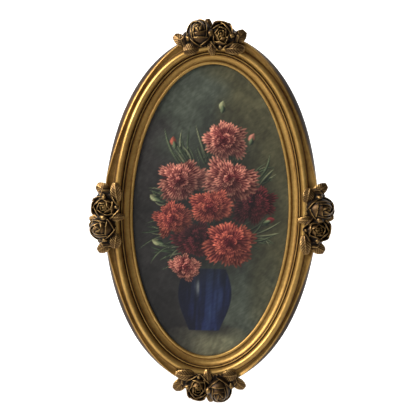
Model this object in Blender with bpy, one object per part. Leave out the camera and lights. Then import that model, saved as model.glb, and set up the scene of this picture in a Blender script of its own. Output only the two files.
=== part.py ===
"""Oval picture frame of gilded moulding with four applied rose castings, around an oil painting on panel.

Metres, +Z up. The picture faces -Y and hangs against the wall plane at y = 0. The origin is on the flat
face of the hanger at the top of the back. A place on the frame is given by three measures: how far it is
along the oval, clockwise as seen from the front, its offset outwards from the sight edge, and its height
in front of the frame's flat back.
"""

import math

import bmesh
import bpy
import numpy as np

# The oval and its moulding
SIGHT_WIDTH = 0.249
SIGHT_HEIGHT = 0.469
MOULDING_WIDTH = 0.0456
REBATE_WIDTH = 0.0080
REBATE_DEPTH = 0.0090
SIGHT_LIP = 0.0030
SIGHT_BEAD_WIDTH = 0.0054
SIGHT_BEAD_RISE = 0.0020
COVE_WIDTH = 0.0092
COVE_RISE = 0.0068
GROOVE_WIDTH = 0.0016
GROOVE_DEPTH = 0.0016
FINE_BEAD_WIDTH = 0.0018
FINE_BEAD_RISE = 0.0004
TORUS_WIDTH = 0.0118
TORUS_RISE = 0.0082
HOLLOW_DEPTH = 0.0030
RIDGE_SET_IN = 0.0100
RIDGE_RISE = 0.0036
RIDGE_EDGE = 0.0024
OUTER_BULGE = 0.0016
SIDE_HEIGHT = 0.0080
PANEL_SHARE = 0.70
PANEL_BOW = 2.4
OVAL_STATIONS = 64

# The painting
PANEL_THICKNESS = 0.0040

# The rose castings: half their length, of which roses, leaves and buds keep their shares, and how far
# each casting is moved clockwise and outwards from the middle of its side, also in shares of it
CASTING_HALF_LENGTH = 0.0460
CASTING_SHIFTS = {"top": -0.185, "right": 0.087, "bottom": -0.109, "left": -0.261}
CASTING_SEATS = {"top": -0.065, "right": -0.030, "bottom": 0.044, "left": -0.083}
BED_THICKNESS = 0.0030
BED_OVERHANG = 0.0140
BED_STEPS = 6
ROSE_SIDES = 15
ROSE_STRETCH = 1.18
LEAF_THICKNESS = 0.0026
LEAF_BACKING = 0.0090
BUD_SIDES = 6

# The hanger
HANGER_WIDTH = 0.0500
HANGER_HEIGHT = 0.0100
HANGER_THICKNESS = 0.0010
HANGER_STANDOFF = 0.0014
HANGER_TAB = 0.0100
HANGER_TEETH = 9
TOOTH_DEPTH = 0.0018

# Gaps
FIT_GAP = 0.0003

# Worked out from the sizes above
LIP_HEIGHT = REBATE_DEPTH + SIGHT_LIP
QUIRK_HEIGHT = LIP_HEIGHT + COVE_RISE
RIDGE_HEIGHT = QUIRK_HEIGHT + RIDGE_RISE
TORUS_START = SIGHT_BEAD_WIDTH + COVE_WIDTH + GROOVE_WIDTH + FINE_BEAD_WIDTH + GROOVE_WIDTH
CREST_OFFSET = TORUS_START + TORUS_WIDTH / 2
CREST_HEIGHT = QUIRK_HEIGHT + TORUS_RISE
FLAT_WIDTH = MOULDING_WIDTH - REBATE_WIDTH
HANGER_OFFSET = REBATE_WIDTH + FLAT_WIDTH / 2
BACK_Y = -(FIT_GAP + HANGER_STANDOFF + HANGER_THICKNESS)
CENTRE_Z = -(SIGHT_HEIGHT / 2 + HANGER_OFFSET)
TURN = 2 * math.pi


def clear_scene():
    """Removes every object, so that the model stands alone."""
    for thing in list(bpy.data.objects):
        bpy.data.objects.remove(thing, do_unlink=True)


def material(name, colour, roughness, metallic):
    """A Principled material of one colour."""
    made = bpy.data.materials.new(name)
    made.use_nodes = True
    shader = made.node_tree.nodes["Principled BSDF"]
    shader.inputs["Base Color"].default_value = (*colour, 1.0)
    shader.inputs["Roughness"].default_value = roughness
    shader.inputs["Metallic"].default_value = metallic
    made.diffuse_color = (*colour, 1.0)
    return made


def add_object(name, points, faces, finish, smooth=None):
    """A mesh object with outward faces, shaded smooth below the given angle."""
    mesh = bpy.data.meshes.new(name)
    mesh.from_pydata([tuple(point) for point in points], [], faces)
    work = bmesh.new()
    work.from_mesh(mesh)
    bmesh.ops.recalc_face_normals(work, faces=work.faces)
    work.to_mesh(mesh)
    work.free()
    if smooth is not None:
        mesh.shade_smooth()
        mesh.set_sharp_from_angle(angle=math.radians(smooth))
    mesh.materials.append(finish)
    thing = bpy.data.objects.new(name, mesh)
    bpy.context.collection.objects.link(thing)
    return thing


# The oval: an ellipse at the sight edge, and curves parallel to it outside


def oval(turn):
    """Point and outward normal of the sight edge, at an angle measured clockwise from the top."""
    half_width = SIGHT_WIDTH / 2
    half_height = SIGHT_HEIGHT / 2
    point = np.array([half_width * math.sin(turn), half_height * math.cos(turn)])
    normal = np.array([math.sin(turn) / half_width, math.cos(turn) / half_height])
    return point, normal / np.linalg.norm(normal)


def parallel_lengths(offset, steps=4000):
    """Angles round the oval, and the length along its parallel curve up to each."""
    turns = np.linspace(0, TURN, steps + 1)
    points = np.array([oval(turn)[0] + offset * oval(turn)[1] for turn in turns])
    runs = np.linalg.norm(np.diff(points, axis=0), axis=1)
    return turns, np.concatenate([[0], np.cumsum(runs)])


def place(turn, offset, height):
    """World point from the angle round the oval, the offset and the height off the back."""
    point, normal = oval(turn)
    x, z = point + offset * normal
    return np.array([x, BACK_Y - height, CENTRE_Z + z])


def stations():
    """Angles that part the outer edge of the moulding into equal lengths."""
    turns, lengths = parallel_lengths(MOULDING_WIDTH)
    return np.interp(np.linspace(0, lengths[-1], OVAL_STATIONS, endpoint=False), lengths, turns)


# The moulding: one cross-section, whose outer ridge bows inwards between the castings


def arc(start, end, rise, steps):
    """Points of an elliptical arch over the chord from start to end, both ends left out."""
    start, end = np.array(start), np.array(end)
    along = end - start
    across = np.array([-along[1], along[0]]) / np.linalg.norm(along)
    angles = math.pi * np.arange(1, steps) / steps
    return [start + along * (1 - math.cos(a)) / 2 + across * rise * math.sin(a) for a in angles]


def cove(start, end, steps):
    """Points of a hollow quarter ellipse, level at its start and upright at its end, ends left out."""
    angles = math.pi / 2 * np.arange(1, steps) / steps
    wide, high = end[0] - start[0], end[1] - start[1]
    return [(start[0] + wide * math.sin(a), start[1] + high * (1 - math.cos(a))) for a in angles]


def ridge_offset(turn):
    """Offset of the ridge: set in at the middle of each quarter, and out at the edge by the castings."""
    turns, lengths = ridge_offset.table
    quarter = np.interp(turn % TURN, turns, lengths) / lengths[-1] * 4 % 1
    share = min(1.0, abs(2 * quarter - 1) / PANEL_SHARE)
    outermost = MOULDING_WIDTH - RIDGE_EDGE
    return outermost - (RIDGE_SET_IN - RIDGE_EDGE) * (1 - share**PANEL_BOW)


def moulding_profile(ridge):
    """The moulding's closed cross-section as offsets and heights, from the sight edge outwards."""
    cove_end = SIGHT_BEAD_WIDTH + COVE_WIDTH
    bead_start = cove_end + GROOVE_WIDTH
    fine_end = bead_start + FINE_BEAD_WIDTH
    torus_end = TORUS_START + TORUS_WIDTH
    groove_floor = QUIRK_HEIGHT - GROOVE_DEPTH
    fine_top = QUIRK_HEIGHT + FINE_BEAD_RISE
    fullness = (ridge - torus_end) / (MOULDING_WIDTH - torus_end)
    points = [(0, REBATE_DEPTH), (0, LIP_HEIGHT)]
    points += arc((0, LIP_HEIGHT), (SIGHT_BEAD_WIDTH, LIP_HEIGHT), SIGHT_BEAD_RISE, 3)
    points += [(SIGHT_BEAD_WIDTH, LIP_HEIGHT)]
    points += cove((SIGHT_BEAD_WIDTH, LIP_HEIGHT), (cove_end, QUIRK_HEIGHT), 3)
    points += [(cove_end, QUIRK_HEIGHT), (cove_end + GROOVE_WIDTH / 2, groove_floor)]
    points += [(bead_start, fine_top), (fine_end, fine_top)]
    points += [(TORUS_START - GROOVE_WIDTH / 2, groove_floor), (TORUS_START, QUIRK_HEIGHT)]
    points += arc((TORUS_START, QUIRK_HEIGHT), (torus_end, QUIRK_HEIGHT), TORUS_RISE, 5)
    points += [(torus_end, QUIRK_HEIGHT)]
    points += arc((torus_end, QUIRK_HEIGHT), (ridge, RIDGE_HEIGHT), -HOLLOW_DEPTH * fullness, 2)
    points += [(ridge, RIDGE_HEIGHT)]
    points += arc((ridge, RIDGE_HEIGHT), (MOULDING_WIDTH, SIDE_HEIGHT), OUTER_BULGE, 2)
    points += [(MOULDING_WIDTH, SIDE_HEIGHT), (MOULDING_WIDTH, 0)]
    points += [(REBATE_WIDTH, 0), (REBATE_WIDTH, REBATE_DEPTH)]
    return np.array(points)


def grown(profile, gap):
    """The cross-section with each side moved out by the gap."""
    before, after = np.roll(profile, 1, axis=0), np.roll(profile, -1, axis=0)
    first = profile - before
    second = after - profile
    normals = []
    for one, two in zip(first, second):
        left = np.array([-one[1], one[0]]) / np.linalg.norm(one)
        right = np.array([-two[1], two[0]]) / np.linalg.norm(two)
        middle = left + right
        normals.append(2 * middle / max(np.dot(middle, middle), 0.8))
    return profile + gap * np.array(normals)


def moulding_ring(gap=0.0):
    """Points and faces of the moulding carried round the oval, grown by a gap if one is given."""
    points, faces = [], []
    for turn in stations():
        profile = moulding_profile(ridge_offset(turn))
        if gap:
            profile = grown(profile, gap)
        points += [place(turn, offset, height) for offset, height in profile]
    count = len(profile)
    for row in range(OVAL_STATIONS):
        for column in range(count):
            near, far = row * count, (row + 1) % OVAL_STATIONS * count
            after = (column + 1) % count
            faces.append((near + column, near + after, far + after, far + column))
    return points, faces


def build_frame(gilding):
    points, faces = moulding_ring()
    return add_object("frame", points, faces, gilding, smooth=35)


def build_painting(paint):
    """The oval panel in the rebate, clear of its wall and its ledge by the fit gap."""
    edge = REBATE_WIDTH - FIT_GAP
    front = REBATE_DEPTH - FIT_GAP
    turns = stations()
    points = [place(turn, edge, front) for turn in turns]
    points += [place(turn, edge, front - PANEL_THICKNESS) for turn in turns]
    count = len(turns)
    faces = [tuple(range(count)), tuple(range(2 * count - 1, count - 1, -1))]
    for near in range(count):
        far = (near + 1) % count
        faces.append((near, near + count, far + count, far))
    return add_object("painting", points, faces, paint)


# The rose castings: shapes in a local frame of along, outwards and up from the back


def grid_faces(rows, columns, start=0, closed=False):
    """Quads of a grid of points, wrapped round in columns if closed."""
    faces = []
    for row in range(rows - 1):
        for column in range(columns if closed else columns - 1):
            near = start + row * columns
            far = near + columns
            after = (column + 1) % columns
            faces.append((near + column, near + after, far + after, far + column))
    return faces


def capped(rings, sides):
    """Faces of a closed shape: a point, rings of so many sides each, and a point at the other end."""
    last = 1 + rings * sides
    rim = last - sides
    faces = [(0, 1 + (side + 1) % sides, 1 + side) for side in range(sides)]
    faces += grid_faces(rings, sides, start=1, closed=True)
    faces += [(last, rim + side, rim + (side + 1) % sides) for side in range(sides)]
    return faces


# Each whorl of petals: its radius, its height and the depth of its scallops as shares of the rose's
# radius, the number of its petals and their turn in radians
ROUND_ROSE_WHORLS = [
    (0.96, -0.10, 0.06, 4, 0.3),
    (1.00, 0.30, 0.18, 4, 0.3),
    (0.82, 0.36, 0.04, 4, 1.1),
    (0.80, 0.68, 0.16, 4, 1.1),
    (0.56, 0.70, 0.04, 3, 0.2),
    (0.46, 0.95, 0.14, 3, 0.2),
]
OPEN_ROSE_WHORLS = [
    (0.92, -0.05, 0.10, 5, 0.7),
    (0.99, 0.26, 0.22, 5, 0.7),
    (0.76, 0.16, 0.06, 5, 1.3),
    (0.70, 0.50, 0.20, 5, 1.3),
    (0.44, 0.30, 0.04, 3, 0.5),
    (0.36, 0.62, 0.16, 3, 0.5),
]
ROSE_FOOT = -0.80
ROUND_ROSE_EYE = 0.80
OPEN_ROSE_EYE = 0.34


def rose_shape(radius, whorls, eye, tilt, turned):
    """A rose as whorls of scalloped petals round its axis, leaned outwards by the tilt."""
    points = [np.array([0.0, 0.0, ROSE_FOOT])]
    for reach, height, scallop, petals, phase in whorls:
        for side in range(ROSE_SIDES):
            angle = TURN * side / ROSE_SIDES
            wave = scallop * (abs(math.cos(petals * (angle - phase) / 2)) - 2 / math.pi)
            out = reach + wave
            points.append(np.array([out * math.cos(angle), out * math.sin(angle), height + wave]))
    points.append(np.array([0.0, 0.0, eye]))
    stretch = radius * np.array([1.0, ROSE_STRETCH, 1.0])
    return [point * stretch for point in tilted(points, tilt, turned)], capped(len(whorls), ROSE_SIDES)


def tilted(points, tilt, turned):
    """Points turned about their own axis, then leaned so that the axis points part way outwards."""
    lean, spin = math.radians(tilt), math.radians(turned)
    about = np.array([[math.cos(spin), -math.sin(spin), 0], [math.sin(spin), math.cos(spin), 0], [0, 0, 1]])
    over = np.array([[1, 0, 0], [0, math.cos(lean), math.sin(lean)], [0, -math.sin(lean), math.cos(lean)]])
    return [over @ about @ point for point in points]


def leaf_shape(length, width, direction, droop, depth):
    """A blunt leaf from its base at the origin, creased along its midrib and arched to its tip.

    The droop is how far the tip sinks, as a share of the length, and the depth is that of the
    material under it: a free leaf is thin, and one laid on the moulding is solid down to it.
    """
    heading = math.radians(direction)
    along = np.array([math.cos(heading), math.sin(heading), 0.0])
    across = np.array([-math.sin(heading), math.cos(heading), 0.0])
    up = np.array([0.0, 0.0, 1.0])
    arch, crease = 0.16 * length, 0.08 * width
    shares = [0.0, 0.20, 0.50, 0.82, 1.0]
    lanes = [-1.0, 0.0, 1.0]
    points = []
    for level in (1, 0):
        for share in shares:
            half = width / 2 * math.sin(math.pi * (0.12 + 0.80 * share)) ** 0.8
            rise = arch * math.sin(math.pi * share) - droop * length * share
            for lane in lanes:
                sunk = crease * abs(lane) if level else depth
                points.append(along * length * share + across * half * lane + up * (rise - sunk))
    rows, columns = len(shares), len(lanes)
    under = rows * columns
    faces = grid_faces(rows, columns)
    faces += [tuple(under + corner for corner in face[::-1]) for face in faces]
    rim = [column for column in range(columns)]
    rim += [row * columns + columns - 1 for row in range(1, rows)]
    rim += [(rows - 1) * columns + column for column in range(columns - 2, -1, -1)]
    rim += [row * columns for row in range(rows - 2, 0, -1)]
    for near, far in zip(rim, rim[1:] + rim[:1]):
        faces.append((near, near + under, far + under, far))
    return points, faces


def bud_shape(radius):
    """A pointed bud: a small ball drawn out to its tip."""
    points = [np.array([0.0, 0.0, -1.3 * radius])]
    for reach, level in ((0.85, -0.5), (0.80, 0.65)):
        for side in range(BUD_SIDES):
            angle = TURN * side / BUD_SIDES
            points.append(radius * np.array([reach * math.cos(angle), reach * math.sin(angle), level]))
    points.append(np.array([0.0, 0.0, 1.55 * radius]))
    return points, capped(2, BUD_SIDES)


def casting_parts():
    """The shapes of one casting, each with its place and its size as shares of the half length.

    A place is how far the shape is clockwise from the casting's middle, outside the moulding's edge and
    in front of its ridge. The heart is the mass between the two roses.
    """
    size = CASTING_HALF_LENGTH
    round_rose = rose_shape(0.402 * size, ROUND_ROSE_WHORLS, ROUND_ROSE_EYE, tilt=26, turned=20)
    open_rose = rose_shape(0.380 * size, OPEN_ROSE_WHORLS, OPEN_ROSE_EYE, tilt=14, turned=50)
    heart, bud, small_bud = [bud_shape(share * size) for share in (0.210, 0.126, 0.100)]

    def leaf(length, width, direction, droop, depth=LEAF_THICKNESS):
        return leaf_shape(length * size, width * size, direction, droop, depth)

    places = [
        ((-0.337, 0.117, 0.067), round_rose),
        ((0.380, 0.030, 0.122), open_rose),
        ((0.022, 0.060, 0.020), heart),
        ((-0.891, -0.109, 0.043), leaf(0.533, 0.360, 118, 0.10)),
        ((0.902, -0.109, 0.043), leaf(0.533, 0.400, 66, 0.10)),
        ((-0.022, 0.030, -0.052), leaf(0.575, 0.303, 92, 0.10)),
        ((-1.080, -0.250, 0.150), leaf(0.520, 0.380, -16, 0.02, LEAF_BACKING)),
        ((0.610, -0.400, 0.165), leaf(0.660, 0.360, 10, 0.02, LEAF_BACKING)),
        ((0.022, -0.160, 0.187), leaf(0.500, 0.274, -84, 0.06, LEAF_BACKING)),
        ((-0.735, 0.060, 0.080), bud),
        ((0.735, 0.060, 0.080), bud),
        ((0.413, -0.375, 0.143), small_bud),
    ]
    return [([size * share for share in shares], shape) for shares, shape in places]


def casting_bed(bend):
    """The mass under the flowers, from the crest of the torus out over the moulding's side."""
    face_height = CREST_HEIGHT + BED_THICKNESS
    foot_height = SIDE_HEIGHT + BED_THICKNESS
    reach = MOULDING_WIDTH - CREST_OFFSET
    points, faces = [], []
    for share in np.linspace(-1, 1, BED_STEPS + 1):
        taper = 0.25 + 0.75 * math.sqrt(1 - abs(share) ** 3)
        inner = MOULDING_WIDTH - reach * (0.6 + 0.4 * taper)
        outer = MOULDING_WIDTH + BED_OVERHANG * taper
        shoulder = (MOULDING_WIDTH + outer) / 2
        section = [(inner, QUIRK_HEIGHT), (inner, face_height), (shoulder, face_height)]
        section += [(outer, RIDGE_HEIGHT), (outer, foot_height)]
        section += [(MOULDING_WIDTH - BED_THICKNESS, foot_height)]
        points += [bend(share * CASTING_HALF_LENGTH, offset, height) for offset, height in section]
    count = len(section)
    faces += grid_faces(BED_STEPS + 1, count, closed=True)
    faces.append(tuple(range(count)))
    faces.append(tuple(range(len(points) - 1, len(points) - count - 1, -1)))
    return points, faces


def build_casting(side, quarter, seat, finish):
    """One casting bent to the oval at its place, its parts united and cut clear of the moulding."""
    turns, lengths = parallel_lengths(MOULDING_WIDTH)
    middle = quarter / 4 * lengths[-1] + CASTING_SHIFTS[side] * CASTING_HALF_LENGTH
    seated = MOULDING_WIDTH + CASTING_SEATS[side] * CASTING_HALF_LENGTH

    def turn_at(along):
        return np.interp((middle + along) % lengths[-1], lengths, turns)

    def bend(along, offset, height):
        return place(turn_at(along), offset, height)

    points, faces = casting_bed(bend)
    body = add_object(f"rose_cluster_{side}", points, faces, finish)
    flowers = []
    for (along, out, lift), (shape, shape_faces) in casting_parts():
        _, normal = oval(turn_at(along))
        outwards = np.array([normal[0], 0.0, normal[1]])
        clockwise = np.array([normal[1], 0.0, -normal[0]])
        forwards = np.array([0.0, -1.0, 0.0])
        base = bend(along, seated + out, RIDGE_HEIGHT + lift)
        moved = [base + p[0] * clockwise + p[1] * outwards + p[2] * forwards for p in shape]
        flowers.append(add_object(f"{body.name}_flower", moved, shape_faces, finish))
    join(body, flowers, "UNION")
    for flower in flowers:
        bpy.data.objects.remove(flower, do_unlink=True)
    join(body, [seat], "DIFFERENCE")
    body.data.shade_smooth()
    body.data.set_sharp_from_angle(angle=math.radians(40))
    return body


def triangulate(mesh):
    """Parts every face into triangles, which stay flat where a shape is bent or twisted."""
    work = bmesh.new()
    work.from_mesh(mesh)
    bmesh.ops.triangulate(work, faces=work.faces)
    work.to_mesh(mesh)
    work.free()


def join(body, others, operation):
    """Applies one Boolean of all the other objects to the body."""
    group = bpy.data.collections.new(f"{body.name}_{operation.lower()}")
    for other in others:
        group.objects.link(other)
        triangulate(other.data)
    triangulate(body.data)
    modifier = body.modifiers.new(group.name, "BOOLEAN")
    modifier.operation = operation
    modifier.solver = "EXACT"
    modifier.operand_type = "COLLECTION"
    modifier.collection = group
    graph = bpy.context.evaluated_depsgraph_get()
    result = bpy.data.meshes.new_from_object(body.evaluated_get(graph))
    body.modifiers.remove(modifier)
    body.data = result
    bpy.data.collections.remove(group)


def build_hanger(steel):
    """A stamped strip: flat tabs against the frame, and a raised middle with teeth along its lower edge."""
    half = HANGER_WIDTH / 2
    tab_y = BACK_Y + FIT_GAP
    raised_y = tab_y + HANGER_STANDOFF
    first = half - HANGER_TAB
    pitch = 2 * (first - HANGER_STANDOFF) / HANGER_TEETH
    marks = [(-half, tab_y, 0.0), (-first, tab_y, 0.0)]
    for tooth in range(HANGER_TEETH + 1):
        across = -first + HANGER_STANDOFF + tooth * pitch
        marks.append((across, raised_y, 0.0))
        if tooth < HANGER_TEETH:
            marks.append((across + pitch / 2, raised_y, TOOTH_DEPTH))
    marks += [(first, tab_y, 0.0), (half, tab_y, 0.0)]
    points = []
    for across, depth, lift in marks:
        top, foot = HANGER_HEIGHT / 2, lift - HANGER_HEIGHT / 2
        points += [(across, depth, foot), (across, depth, top)]
        points += [(across, depth + HANGER_THICKNESS, top), (across, depth + HANGER_THICKNESS, foot)]
    faces = grid_faces(len(marks), 4, closed=True)
    faces += [(0, 1, 2, 3), tuple(range(len(points) - 1, len(points) - 5, -1))]
    return add_object("sawtooth_hanger", points, faces, steel)


def build():
    clear_scene()
    ridge_offset.table = parallel_lengths(MOULDING_WIDTH)
    gilding = material("aged_gilding", (0.46, 0.31, 0.12), 0.38, 0.75)
    bronze = material("dark_gilt_composition", (0.13, 0.085, 0.045), 0.42, 0.60)
    paint = material("oil_paint", (0.075, 0.080, 0.055), 0.55, 0.0)
    steel = material("hanger_steel", (0.38, 0.35, 0.28), 0.40, 0.90)
    build_frame(gilding)
    build_painting(paint)
    points, faces = moulding_ring(FIT_GAP)
    seat = add_object("seat_cutter", points, faces, gilding)
    for quarter, side in enumerate(("top", "right", "bottom", "left")):
        build_casting(side, quarter, seat, bronze)
    bpy.data.objects.remove(seat, do_unlink=True)
    build_hanger(steel)


build()
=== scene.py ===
# %% [markdown]
# # An oval flower painting in a gilded frame
# The picture is a panel painted in oils, held in an oval moulding with four rose castings glued on its
# edge. The solid model comes from the CAD step and never moves. This notebook dresses it: a finer
# moulding, modelled roses, the painting itself, the finishes, and then light and a camera.

# %% Load the solid model
import math

import bpy
import numpy as np
from mathutils import Matrix, Vector


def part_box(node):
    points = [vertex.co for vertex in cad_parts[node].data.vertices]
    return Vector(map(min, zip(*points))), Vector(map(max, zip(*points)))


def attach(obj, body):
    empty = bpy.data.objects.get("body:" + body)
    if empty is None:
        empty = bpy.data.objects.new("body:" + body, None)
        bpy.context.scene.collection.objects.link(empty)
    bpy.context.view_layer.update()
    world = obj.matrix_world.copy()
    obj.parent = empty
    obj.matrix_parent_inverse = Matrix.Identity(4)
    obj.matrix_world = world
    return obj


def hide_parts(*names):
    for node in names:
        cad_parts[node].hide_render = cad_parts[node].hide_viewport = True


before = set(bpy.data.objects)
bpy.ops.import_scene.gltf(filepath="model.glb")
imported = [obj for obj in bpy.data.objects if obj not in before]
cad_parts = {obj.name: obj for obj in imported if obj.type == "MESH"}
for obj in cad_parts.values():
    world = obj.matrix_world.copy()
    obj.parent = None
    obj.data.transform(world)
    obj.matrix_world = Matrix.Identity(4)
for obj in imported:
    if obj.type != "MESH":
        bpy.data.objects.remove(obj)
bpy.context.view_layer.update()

# %% [markdown]
# ## Measures of the frame
# Every place on the frame is given by three measures: the turn round the oval, clockwise from the top
# as seen from the front, the offset outwards from the sight edge, and the height in front of the flat
# back. The sight edge is an ellipse, and the members of the moulding run parallel to it.

# %% Sizes of the moulding, in metres
SIGHT_WIDTH, SIGHT_HEIGHT = 0.249, 0.469
MOULDING_WIDTH = 0.0456
REBATE_WIDTH, REBATE_DEPTH, SIGHT_LIP = 0.0080, 0.0090, 0.0030
SIGHT_BEAD_WIDTH, SIGHT_BEAD_RISE = 0.0054, 0.0020
COVE_WIDTH, COVE_RISE = 0.0092, 0.0068
GROOVE_WIDTH, GROOVE_DEPTH = 0.0016, 0.0016
FINE_BEAD_WIDTH, FINE_BEAD_RISE = 0.0018, 0.0004
TORUS_WIDTH, TORUS_RISE = 0.0118, 0.0082
HOLLOW_DEPTH = 0.0030
RIDGE_SET_IN, RIDGE_EDGE, RIDGE_RISE = 0.0100, 0.0024, 0.0036
OUTER_BULGE, SIDE_HEIGHT = 0.0016, 0.0080
PANEL_SHARE, PANEL_BOW = 0.70, 2.4
PANEL_THICKNESS = 0.0040
FIT_GAP = 0.0003
TURN = 2 * math.pi

frame_low, frame_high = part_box("frame")
BACK_Y = frame_high[1]
CENTRE_Z = (frame_low[2] + frame_high[2]) / 2
LIP_HEIGHT = REBATE_DEPTH + SIGHT_LIP
QUIRK_HEIGHT = LIP_HEIGHT + COVE_RISE
RIDGE_HEIGHT = QUIRK_HEIGHT + RIDGE_RISE
COVE_END = SIGHT_BEAD_WIDTH + COVE_WIDTH
FINE_START = COVE_END + GROOVE_WIDTH
FINE_END = FINE_START + FINE_BEAD_WIDTH
TORUS_START = FINE_END + GROOVE_WIDTH
TORUS_END = TORUS_START + TORUS_WIDTH
CREST_OFFSET = (TORUS_START + TORUS_END) / 2
CREST_HEIGHT = QUIRK_HEIGHT + TORUS_RISE
print("oval centre at z", round(CENTRE_Z, 4), "and flat back at y", round(BACK_Y, 4))


# %% Places on the oval
def oval(turn):
    """Points and outward normals of the sight ellipse, for an array of turns.

    A point is (half width times sine, half height times cosine); the normal is the point divided by
    the squares of the half axes, brought to length one.
    """
    half_width, half_height = SIGHT_WIDTH / 2, SIGHT_HEIGHT / 2
    point = np.stack([half_width * np.sin(turn), half_height * np.cos(turn)], axis=-1)
    normal = np.stack([np.sin(turn) / half_width, np.cos(turn) / half_height], axis=-1)
    return point, normal / np.linalg.norm(normal, axis=-1, keepdims=True)


def place(turn, offset, height):
    """World points: the ellipse moved out along its normals by the offset, and forward by the height."""
    point, normal = oval(turn)
    flat = point + np.asarray(offset)[..., None] * normal
    forward = BACK_Y - np.asarray(height) + 0 * flat[..., 0]
    return np.stack([flat[..., 0], forward, CENTRE_Z + flat[..., 1]], axis=-1)


def parallel_lengths(offset, steps=4000):
    """Turns round the oval, and the running length of its parallel curve: the sum of its chords."""
    turns = np.linspace(0, TURN, steps + 1)
    point, normal = oval(turns)
    chords = np.linalg.norm(np.diff(point + offset * normal, axis=0), axis=1)
    return turns, np.concatenate([[0], np.cumsum(chords)])


rim_turns, rim_lengths = parallel_lengths(MOULDING_WIDTH)
print("outer edge, mm round:", round(1000 * rim_lengths[-1]))


# %% Meshes from arrays
def grid_quads(rows, columns, wrap_rows=False, wrap_columns=False):
    """Corner numbers of the quads of a grid of points, wrapped round where asked."""
    row = np.arange(rows if wrap_rows else rows - 1)[:, None]
    column = np.arange(columns if wrap_columns else columns - 1)[None, :]
    near, far = row * columns, (row + 1) % rows * columns
    after = (column + 1) % columns
    corners = np.broadcast_arrays(near + column, near + after, far + after, far + column)
    return np.stack(corners, axis=-1).reshape(-1, 4)


def grid_rim(rows, columns):
    """Point numbers round the edge of a grid, once round from its first corner."""
    return np.concatenate([
        np.arange(columns),
        columns * np.arange(1, rows) + columns - 1,
        rows * columns - 1 - np.arange(1, columns),
        columns * np.arange(rows - 2, 0, -1),
    ])


def new_mesh_object(name, points, faces):
    """An object at the origin whose mesh holds the points and faces, shaded smooth."""
    mesh = bpy.data.meshes.new(name)
    mesh.from_pydata(np.asarray(points).reshape(-1, 3).tolist(), [], [list(face) for face in faces])
    mesh.polygons.foreach_set("use_smooth", np.ones(len(mesh.polygons), dtype=bool))
    mesh.update()
    thing = bpy.data.objects.new(name, mesh)
    bpy.context.collection.objects.link(thing)
    return thing


def point_values(thing, name, values):
    """Keeps one number for each point of the mesh, for the materials to read."""
    layer = thing.data.attributes.new(name, "FLOAT", "POINT")
    layer.data.foreach_set("value", np.asarray(values, dtype=np.float32).ravel())


# %% [markdown]
# ## The moulding
# A real oval moulding is turned on a lathe that follows an ellipse, coated with white ground and then
# gilded. The cross-section, from the painting outwards, is a small bead, a hollow cove, a fine bead
# between two grooves, a fat torus, and an outer band whose ridge bows inwards between the castings.
# One section carried round the oval gives all of it. The ground rounds every edge a little, so the
# section is averaged with its neighbours once it is laid out.

# %% The cross-section of the moulding
BACK_STEPS, REBATE_STEPS = 12, 5
HIDDEN_STEPS = BACK_STEPS + 2 * REBATE_STEPS


def arch(start, end, rise, steps):
    """Elliptical arch over a chord: a share (1 - cos a) / 2 along it, and rise times sin a across it."""
    (x0, y0), (x1, y1) = start, end
    angle = math.pi * np.arange(steps) / steps
    along_x, along_y = x1 - x0, y1 - y0
    length = np.hypot(along_x, along_y)
    share, lift = (1 - np.cos(angle)) / 2, rise * np.sin(angle)
    return x0 + along_x * share - along_y / length * lift, y0 + along_y * share + along_x / length * lift


def cove(start, end, steps):
    """Hollow quarter ellipse: width times sin a along, and rise times (1 - cos a) up."""
    angle = math.pi / 2 * np.arange(steps) / steps
    x = start[0] + (end[0] - start[0]) * np.sin(angle)
    y = start[1] + (end[1] - start[1]) * (1 - np.cos(angle))
    return x, y


def straight(start, end, steps):
    """Points that part the way from start to end into equal steps."""
    share = np.arange(steps) / steps
    return start[0] + (end[0] - start[0]) * share, start[1] + (end[1] - start[1]) * share


def ridge_offset(turn):
    """Offset of the ridge: within PANEL_SHARE of each quarter it bows inwards by a power curve."""
    quarter = np.interp(turn % TURN, rim_turns, rim_lengths) / rim_lengths[-1] * 4 % 1
    share = np.minimum(1.0, np.abs(2 * quarter - 1) / PANEL_SHARE)
    return MOULDING_WIDTH - RIDGE_EDGE - (RIDGE_SET_IN - RIDGE_EDGE) * (1 - share**PANEL_BOW)


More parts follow.
